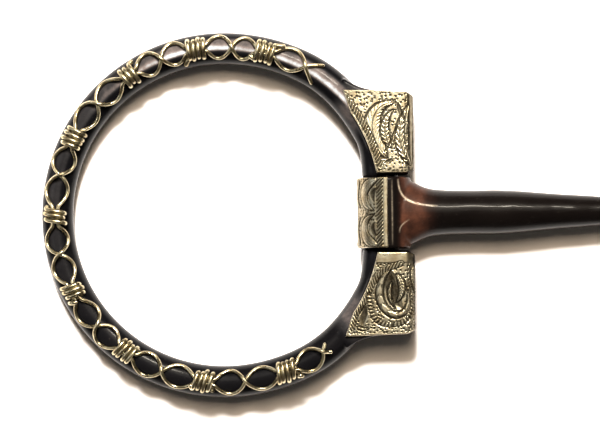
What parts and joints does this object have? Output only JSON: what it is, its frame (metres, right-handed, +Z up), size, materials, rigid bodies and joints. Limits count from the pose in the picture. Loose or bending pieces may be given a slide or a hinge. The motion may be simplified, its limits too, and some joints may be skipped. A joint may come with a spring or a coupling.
{
  "type": "snaffle bit",
  "caption": "Single-jointed D-ring snaffle bit for a horse's bridle, with dark iron rings and mouthpiece, wire trim round the rings and engraved metal overlays on the shoulders.",
  "frame": {"origin": "centre of the footprint, on the table the bit lies on", "axes": "+X along the mouthpiece from the left cheek to the right, +Y along the hinge pins, +Z up out of the trimmed faces of the rings"},
  "size_m": [0.3148, 0.092, 0.0144],
  "materials": {
    "blued_iron": "blue-black oiled iron, hand filed, with soft highlights and worn edges",
    "browned_iron": "glossy dark brown sweet iron with reddish-brown patina at the flare and fine scratches",
    "engraved_silver": "hand engraved German silver with leaf scrolls, rope borders and darkened stippled ground, aged to pale gold",
    "trim_wire": "bright drawn German silver wire, polished on its crowns and darkened in its crossings"
  },
  "bodies": {
    "left_mouth": {"left_cannon": "browned_iron", "left_barrel_band": "engraved_silver"},
    "left_cheek": {"left_cheek_ring": "blued_iron", "left_hinge_pin": "blued_iron", "left_upper_overlay": "engraved_silver", "left_lower_overlay": "engraved_silver", "left_outer_strand": "trim_wire", "left_inner_strand": "trim_wire", "left_wire_wrap_1": "trim_wire", "left_wire_wrap_2": "trim_wire", "left_wire_wrap_3": "trim_wire", "left_wire_wrap_4": "trim_wire", "left_wire_wrap_5": "trim_wire", "left_wire_wrap_6": "trim_wire", "left_wire_wrap_7": "trim_wire", "left_wire_wrap_8": "trim_wire", "left_wire_wrap_9": "trim_wire"},
    "right_mouth": {"right_cannon": "browned_iron", "right_barrel_band": "engraved_silver"},
    "right_cheek": {"right_cheek_ring": "blued_iron", "right_hinge_pin": "blued_iron", "right_upper_overlay": "engraved_silver", "right_lower_overlay": "engraved_silver", "right_outer_strand": "trim_wire", "right_inner_strand": "trim_wire", "right_wire_wrap_1": "trim_wire", "right_wire_wrap_2": "trim_wire", "right_wire_wrap_3": "trim_wire", "right_wire_wrap_4": "trim_wire", "right_wire_wrap_5": "trim_wire", "right_wire_wrap_6": "trim_wire", "right_wire_wrap_7": "trim_wire", "right_wire_wrap_8": "trim_wire", "right_wire_wrap_9": "trim_wire"}
  },
  "joints": [
    {"name": "left_cheek_hinge", "type": "hinge", "parent": "left_mouth", "child": "left_cheek", "pos_m": [-0.0706, 0, 0.0072], "axis": [0, 1, 0], "range_deg": [-105, 105]},
    {"name": "mouth_fold", "type": "hinge", "parent": "left_mouth", "child": "right_mouth", "pos_m": [0.00248, 0, 0.0072], "axis": [0, 1, 0], "range_deg": [-50, 50]},
    {"name": "right_cheek_hinge", "type": "hinge", "parent": "right_mouth", "child": "right_cheek", "pos_m": [0.0706, 0, 0.0072], "axis": [0, 1, 0], "range_deg": [-105, 105]}
  ]
}
